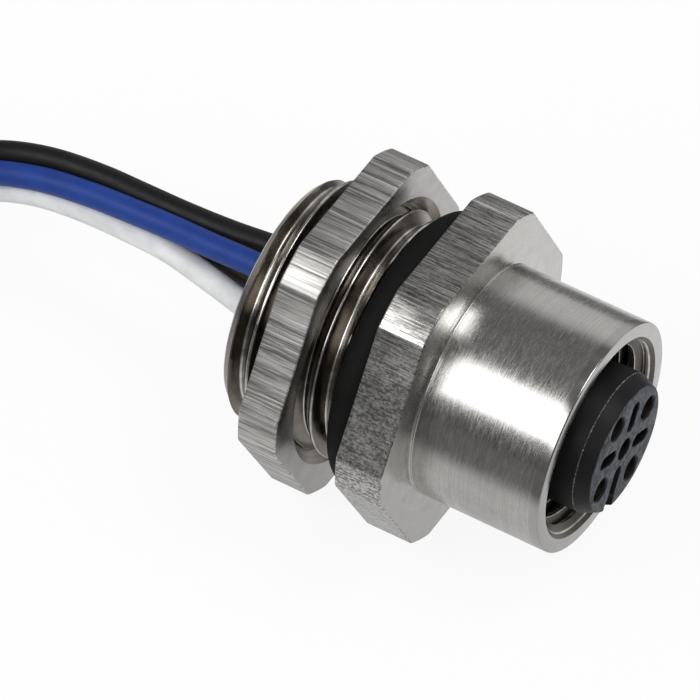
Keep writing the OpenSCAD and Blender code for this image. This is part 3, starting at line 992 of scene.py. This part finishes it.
def coil_route(step):
    """The bundle in the coil: an outer turn, an inner one, a climb to the second layer and out.

    Returns x, y, z and the bundle's twist. The twist turns it over half way, so that the wires
    that ran outside run inside and all four have one length.
    """
    mean_r = COIL_OUTER_R - COIL_PITCH / 2
    turn_ = np.linspace(0, COIL_TURN, int(math.radians(COIL_TURN) * mean_r / step))

    def passed(place):
        """Rises from 0 to 1 over a place given as its start and length in degrees."""
        return smooth_step((turn_ - place[0]) / place[1])

    r = COIL_OUTER_R - COIL_PITCH * (passed(COIL_INWARDS) - passed(COIL_OUTWARDS))
    z = COIL_LOW_Z + COIL_PITCH * passed(COIL_CLIMB)
    angle = np.radians(90 + turn_)
    twist = LEAD_ROUTE[-1, 4] + COIL_TWIST * passed(COIL_TWIST_AT)
    return np.stack([COIL_AT[0] + r * np.cos(angle), COIL_AT[1] + r * np.sin(angle), z, twist], 1)


def wire_path(index, step=0.3):
    """Ring centres of one wire, in millimetres: the bundle's middle, moved sideways and up."""
    start_angle = CONTACT_TURN - 90 * index
    lead = spline(LEAD_ROUTE, step)
    coil = coil_route(step)[1:]
    tail = spline(TAIL_ROUTE, step)[1:]
    lead_angle = np.radians(start_angle + lead[:, 4])
    coil_angle = np.radians(start_angle + coil[:, 3])
    end_angle = np.radians(start_angle + LEAD_ROUTE[-1, 4] + COIL_TWIST)
    fan = tail[:, 3] * FAN_PITCH * FAN_PLACE[index]
    side = np.concatenate([
        lead[:, 3] * np.cos(lead_angle),
        COIL_SPREAD * np.cos(coil_angle),
        (1 - tail[:, 3]) * COIL_SPREAD * math.cos(end_angle) + fan,
    ])
    up = np.concatenate([
        lead[:, 3] * np.sin(lead_angle),
        COIL_SPREAD * np.sin(coil_angle),
        (1 - tail[:, 4]) * COIL_SPREAD * math.sin(end_angle),
    ])
    middle = np.vstack([lead[:, :3], coil[:, :3], tail[:, :3]])
    _, across, upward = frames_along(middle)
    path = middle + side[:, None] * across + up[:, None] * upward
    return path[path[:, 0] < POTTING_LOW[0] / MM + WIRE_START]


def swept_tube(name, path, radius, material, sides=18):
    """A round bar along a path: a circle square to the path at each of its points."""
    _, across, upward = frames_along(path)
    points = ring_points(path, radius, sides, across, upward)
    return new_piece(name, points, capped_faces(points, sides), [material], sharp=50)


def build_wires(size, tint):
    """Four insulated wires from the potting through the coil to their stripped ends."""
    for index, name in enumerate(("brown", "white", "blue", "black")):
        path = wire_path(index) * MM
        skin_ = insulation(f"{name} insulation", getattr(tint, name))
        piece = swept_tube(f"wire_{name}_insulated", path, size.wire_d / 2, skin_)
        finished(piece, f"wire_{name}")
        if name == "blue":
            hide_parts("wire_coil")
        build_wire_tip(index + 1, path, size, tint)


def build_wire_tip(number_, path, size, tint):
    """The stripped end of a wire: six tinned strands twisted round a seventh, straight on."""
    way = path[-1] - path[-3]
    way /= np.linalg.norm(way)
    across = np.cross(way, [0, 0, 1])
    across /= np.linalg.norm(across)
    upward = np.cross(across, way)
    along = np.linspace(0, size.tip_length, 40)[:, None]
    across_all, upward_all = np.tile(across, (len(along), 1)), np.tile(upward, (len(along), 1))
    sides = 10
    points, faces = [], []
    for k in range(7):
        radius = 0 if k == 6 else 2 * size.strand_r
        turn_ = math.radians(60 * k) + 2 * np.pi * along / size.strand_lay
        centre = path[-1] + along * way + radius * (np.cos(turn_) * across + np.sin(turn_) * upward)
        strand = ring_points(centre, size.strand_r, sides, across_all, upward_all)
        faces += capped_faces(strand, sides, k * len(strand))
        points.append(strand)
    tin = plated(f"tinned strands {number_}", tint.tin, 0.3)
    piece = new_piece(f"wire_tip_{number_}_strands", np.vstack(points), faces, [tin], sharp=60)
    return finished(piece, f"wire_tip_{number_}")


def build_coil_tie(tint):
    """The tie on the coil, with its plastic finish."""
    dress_node("coil_tie", moulded("tie plastic", tint.plastic, 0.4, 0.003 * MM))


# ---- Stage ----

FLOOR_HALF = 1.5
FLOOR_GAP = 0.02 * MM
# Half lengths of the floor's three changes of tone, from front to back
FADE_REACH = (7 * MM, 9 * MM, 13 * MM)
# The surroundings' changes of tone: from and to, as a share of straight up and straight back
CEILING_SPAN = (0.1, 0.9)
BACKDROP_SPAN = (0.63, 0.8)
# Name, direction from the origin, distance, width and height of each lamp
LAMPS = (
    ("main", (-0.32, -0.66, 0.68), 0.6, 0.7, 0.37),
    ("top", (0.34, 0.1, 0.93), 0.6, 0.26, 0.26),
    ("side", (0.88, 0.28, 0.37), 0.8, 0.25, 0.25),
)


def build_floor(stage):
    """A large pale floor, white to the eye, with a soft shadow.

    Metal sees it fade to grey in front and far behind, and darker under the object, which is a
    painted shadow.
    """
    corners = FLOOR_HALF * np.array([[-1, -1, 0], [1, -1, 0], [1, 1, 0], [-1, 1, 0]])
    corners[:, 2] = FLOOR_Z - FLOOR_GAP
    f = Finish("floor", stage.floor, roughness=0.9, gloss=0.0)
    rays = f.add("ShaderNodeLightPath").outputs
    forward = f.part("Y")
    edges = (stage.front_edge, stage.back_edge, stage.far_edge)
    # The first of these tones darkens the floor under the object as metal sees it: a painted
    # shadow.
    tones = (stage.painted_shadow_tone, stage.back_tone, stage.far_tone)
    fade = stage.far_tone
    for edge, reach, tone in zip(edges, FADE_REACH, tones):
        fade = f.ramp(forward, fade, tone, (edge - reach, edge + reach), "SMOOTHSTEP")
    tone = f.mixed(1.0, fade, rays["Is Glossy Ray"])
    f.paint("Base Color", f.vectors("SCALE", stage.floor, tone))
    glow = f.add("ShaderNodeEmission", {"Color": (1, 1, 1), "Strength": tone}).outputs[0]
    seen = f.maths("ADD", rays["Is Camera Ray"], rays["Is Glossy Ray"])
    share = f.maths("MULTIPLY", seen, stage.glow)
    mix = f.add("ShaderNodeMixShader", {0: share, 1: f.shader.outputs[0], 2: glow}).outputs[0]
    feed(f.tree.nodes["Material Output"].inputs["Surface"], mix)
    new_piece("floor", corners, [[0, 1, 2, 3]], [f.material])


def build_world(stage):
    """Surroundings that are white to the eye, even to matt surfaces, and patterned to metal.

    Metal sees them dim at the horizon, a little lighter overhead, and light behind.
    """
    world = bpy.data.worlds.new("studio")
    world.use_nodes = True
    tree = world.node_tree

    def span(value, low, high, to_low, to_high):
        """Spreads a value smoothly between two levels."""
        ends = {"From Min": low, "From Max": high, "To Min": to_low, "To Max": to_high}
        fields = {"Value": value, **ends}
        return add_node(
            tree, "ShaderNodeMapRange", fields, interpolation_type="SMOOTHSTEP"
        ).outputs["Result"]

    spot = add_node(tree, "ShaderNodeTexCoord").outputs["Generated"]
    way = add_node(tree, "ShaderNodeSeparateXYZ", {0: spot}).outputs
    overhead = span(way["Z"], *CEILING_SPAN, stage.room, stage.ceiling)
    behind = span(way["Y"], *BACKDROP_SPAN, 0.0, stage.backdrop)
    patterned = add_node(tree, "ShaderNodeMath", {0: overhead, 1: behind}).outputs[0]
    rays = add_node(tree, "ShaderNodeLightPath").outputs
    level = span(rays["Is Glossy Ray"], 0.0, 1.0, stage.fill, patterned)
    level = span(rays["Is Camera Ray"], 0.0, 1.0, level, 1.0)
    background = tree.nodes["Background"].inputs
    feed(background["Color"], (1, 1, 1))
    feed(background["Strength"], level)
    bpy.context.scene.world = world


def place(item, right, up, back, spot):
    """Turns and moves a lamp or a camera: its right, up and backward directions, and its spot."""
    matrix = np.eye(4)
    matrix[:3] = np.stack([right, up, back, spot], 1)
    item.matrix_world = matrix.T.tolist()


def build_lamps(stage):
    """A broad lamp above and in front, a small one overhead and a weak one to the side.

    Each is a soft rectangle that faces the origin. Its level is its surface's brightness.
    """
    for name, way, distance, width, height in LAMPS:
        back = np.array(way, float)
        back /= np.linalg.norm(back)
        side = np.cross([0, 0, 1], back)
        side /= np.linalg.norm(side)
        data = bpy.data.lights.new(name + " lamp", "AREA")
        data.shape = "RECTANGLE"
        data.size, data.size_y = width, height
        data.energy = getattr(stage, name + "_level") * math.pi * width * height
        place(new_object(name + " lamp", data), side, np.cross(back, side), back, distance * back)


def build_camera(stage):
    """The camera: a long lens above and in front, turned a little about its line of sight."""
    a, e, roll = stage.azimuth, stage.elevation, stage.roll
    back = np.array([math.sin(a) * math.cos(e), -math.cos(a) * math.cos(e), math.sin(e)])
    level = np.array([math.cos(a), math.sin(a), 0])
    upright = np.array([-math.sin(a) * math.sin(e), math.cos(a) * math.sin(e), math.cos(e)])
    right = math.cos(roll) * level + math.sin(roll) * upright
    up = math.cos(roll) * upright - math.sin(roll) * level
    data = bpy.data.cameras.new("camera")
    data.sensor_width = 36
    data.lens = stage.lens
    data.clip_start = 0.01
    camera = new_object("camera", data)
    spot = stage.distance * back + stage.aim_right * right + stage.aim_up * up
    place(camera, right, up, back, spot)
    bpy.context.scene.camera = camera


# ---- Operators and panel ----


class CONNECTOR_OT_stage(bpy.types.Operator):
    """Make the camera, the floor, the surroundings and the lamps"""

    bl_idname = "connector.stage"
    bl_label = "Stage"
    bl_options = {"REGISTER", "UNDO"}

    def execute(self, context):
        stage = context.scene.connector_stage
        context.scene.view_settings.view_transform = "Standard"
        build_camera(stage)
        build_floor(stage)
        build_world(stage)
        build_lamps(stage)
        return {"FINISHED"}


class CONNECTOR_OT_wires(bpy.types.Operator):
    """Make the four wires and their stripped ends"""

    bl_idname = "connector.wires"
    bl_label = "Wires"
    bl_options = {"REGISTER", "UNDO"}

    def execute(self, context):
        build_wires(context.scene.connector_sizes, context.scene.connector_colours)
        return {"FINISHED"}


class CONNECTOR_OT_coil_tie(bpy.types.Operator):
    """Finish the tie on the coil"""

    bl_idname = "connector.coil_tie"
    bl_label = "Coil tie"
    bl_options = {"REGISTER", "UNDO"}

    def execute(self, context):
        build_coil_tie(context.scene.connector_colours)
        return {"FINISHED"}


class CONNECTOR_OT_housing(bpy.types.Operator):
    """Make the turned housing with both its threads"""

    bl_idname = "connector.housing"
    bl_label = "Housing"
    bl_options = {"REGISTER", "UNDO"}

    def execute(self, context):
        build_housing(context.scene.connector_sizes, context.scene.connector_colours)
        return {"FINISHED"}


class CONNECTOR_OT_lock_nut(bpy.types.Operator):
    """Make the lock nut with its thread"""

    bl_idname = "connector.lock_nut"
    bl_label = "Lock nut"
    bl_options = {"REGISTER", "UNDO"}

    def execute(self, context):
        build_lock_nut(context.scene.connector_sizes, context.scene.connector_colours)
        return {"FINISHED"}


class CONNECTOR_OT_seal_ring(bpy.types.Operator):
    """Make the panel seal ring"""

    bl_idname = "connector.seal_ring"
    bl_label = "Seal ring"
    bl_options = {"REGISTER", "UNDO"}

    def execute(self, context):
        build_seal_ring(context.scene.connector_colours)
        return {"FINISHED"}


class CONNECTOR_OT_insert(bpy.types.Operator):
    """Make the moulded contact insert"""

    bl_idname = "connector.insert"
    bl_label = "Contact insert"
    bl_options = {"REGISTER", "UNDO"}

    def execute(self, context):
        build_contact_insert(context.scene.connector_colours)
        return {"FINISHED"}


class CONNECTOR_OT_inner(bpy.types.Operator):
    """Finish the contacts, the inner seal and the potting"""

    bl_idname = "connector.inner"
    bl_label = "Inner pieces"
    bl_options = {"REGISTER", "UNDO"}

    def execute(self, context):
        build_inner_pieces(context.scene.connector_colours)
        return {"FINISHED"}


OPERATORS = (
    CONNECTOR_OT_stage,
    CONNECTOR_OT_wires,
    CONNECTOR_OT_coil_tie,
    CONNECTOR_OT_housing,
    CONNECTOR_OT_lock_nut,
    CONNECTOR_OT_seal_ring,
    CONNECTOR_OT_insert,
    CONNECTOR_OT_inner,
)


class CONNECTOR_PT_panel(bpy.types.Panel):
    """Lists the connector's operators in the sidebar"""

    bl_label = "Connector"
    bl_idname = "CONNECTOR_PT_panel"
    bl_space_type = "VIEW_3D"
    bl_region_type = "UI"
    bl_category = "Connector"

    def draw(self, context):
        for operator in OPERATORS:
            self.layout.operator(operator.bl_idname)


GROUPS = {
    "connector_sizes": ConnectorSizes,
    "connector_colours": ConnectorColours,
    "connector_stage": StageSettings,
}
CLASSES = (*GROUPS.values(), *OPERATORS, CONNECTOR_PT_panel)


def register():
    """Registers the classes and hangs the settings on the scene."""
    for cls in CLASSES:
        bpy.utils.register_class(cls)
    for name, group in GROUPS.items():
        setattr(bpy.types.Scene, name, bpy.props.PointerProperty(type=group))


def unregister():
    """Takes the settings and the classes away again."""
    for name in GROUPS:
        delattr(bpy.types.Scene, name)
    for cls in reversed(CLASSES):
        bpy.utils.unregister_class(cls)


def main():
    """Makes every piece."""
    register()
    for operator in OPERATORS:
        space, name = operator.bl_idname.split(".")
        getattr(getattr(bpy.ops, space), name)()


if __name__ == "__main__":
    main()
